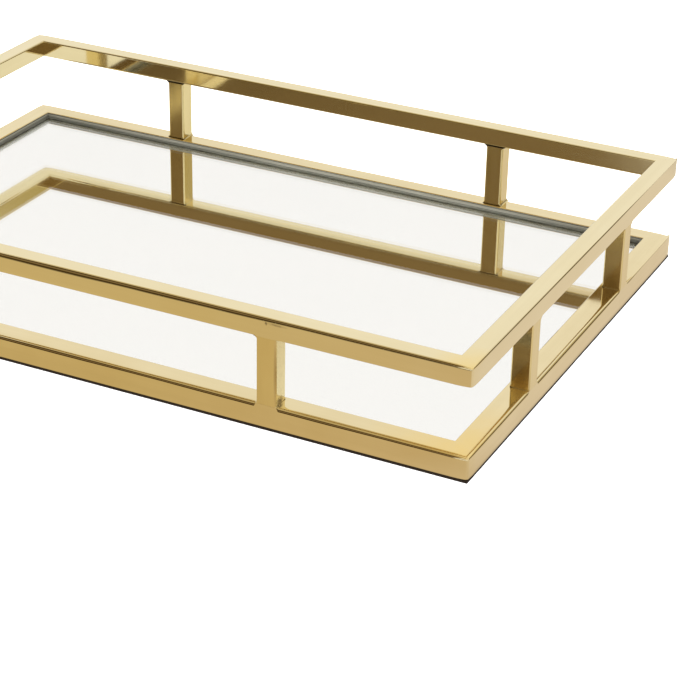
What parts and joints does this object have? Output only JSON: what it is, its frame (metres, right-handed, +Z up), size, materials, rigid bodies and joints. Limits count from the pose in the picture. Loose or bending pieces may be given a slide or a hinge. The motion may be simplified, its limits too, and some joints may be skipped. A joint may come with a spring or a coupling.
{
  "type": "vanity tray",
  "caption": "Rectangular mirrored dresser tray with a gold square-tube frame and a raised gallery rail on short posts.",
  "frame": {"origin": "on the surface that the tray stands on, under the centre of the tray", "axes": "+X along the long side to the right, +Y along the short side to the rear, +Z up"},
  "size_m": [0.452, 0.305, 0.0645],
  "materials": {
    "gold_metal": "polished gold plating",
    "glass": "clear float glass",
    "silvering": "silvered mirror",
    "board": "dark hardboard",
    "felt": "black felt"
  },
  "bodies": {
    "root": {"base_rail_front": "gold_metal", "base_rail_rear": "gold_metal", "base_rail_left": "gold_metal", "base_rail_right": "gold_metal", "top_rail_front": "gold_metal", "top_rail_rear": "gold_metal", "top_rail_left": "gold_metal", "top_rail_right": "gold_metal", "post_front_left": "gold_metal", "post_front_right": "gold_metal", "post_rear_left": "gold_metal", "post_rear_right": "gold_metal", "post_left_front": "gold_metal", "post_left_rear": "gold_metal", "post_right_front": "gold_metal", "post_right_rear": "gold_metal", "ledge_front": "gold_metal", "ledge_rear": "gold_metal", "ledge_left": "gold_metal", "ledge_right": "gold_metal", "mirror_glass": "glass", "mirror_silvering": "silvering", "backing_board": "board", "felt_front": "felt", "felt_rear": "felt", "felt_left": "felt", "felt_right": "felt"}
  },
  "joints": []
}
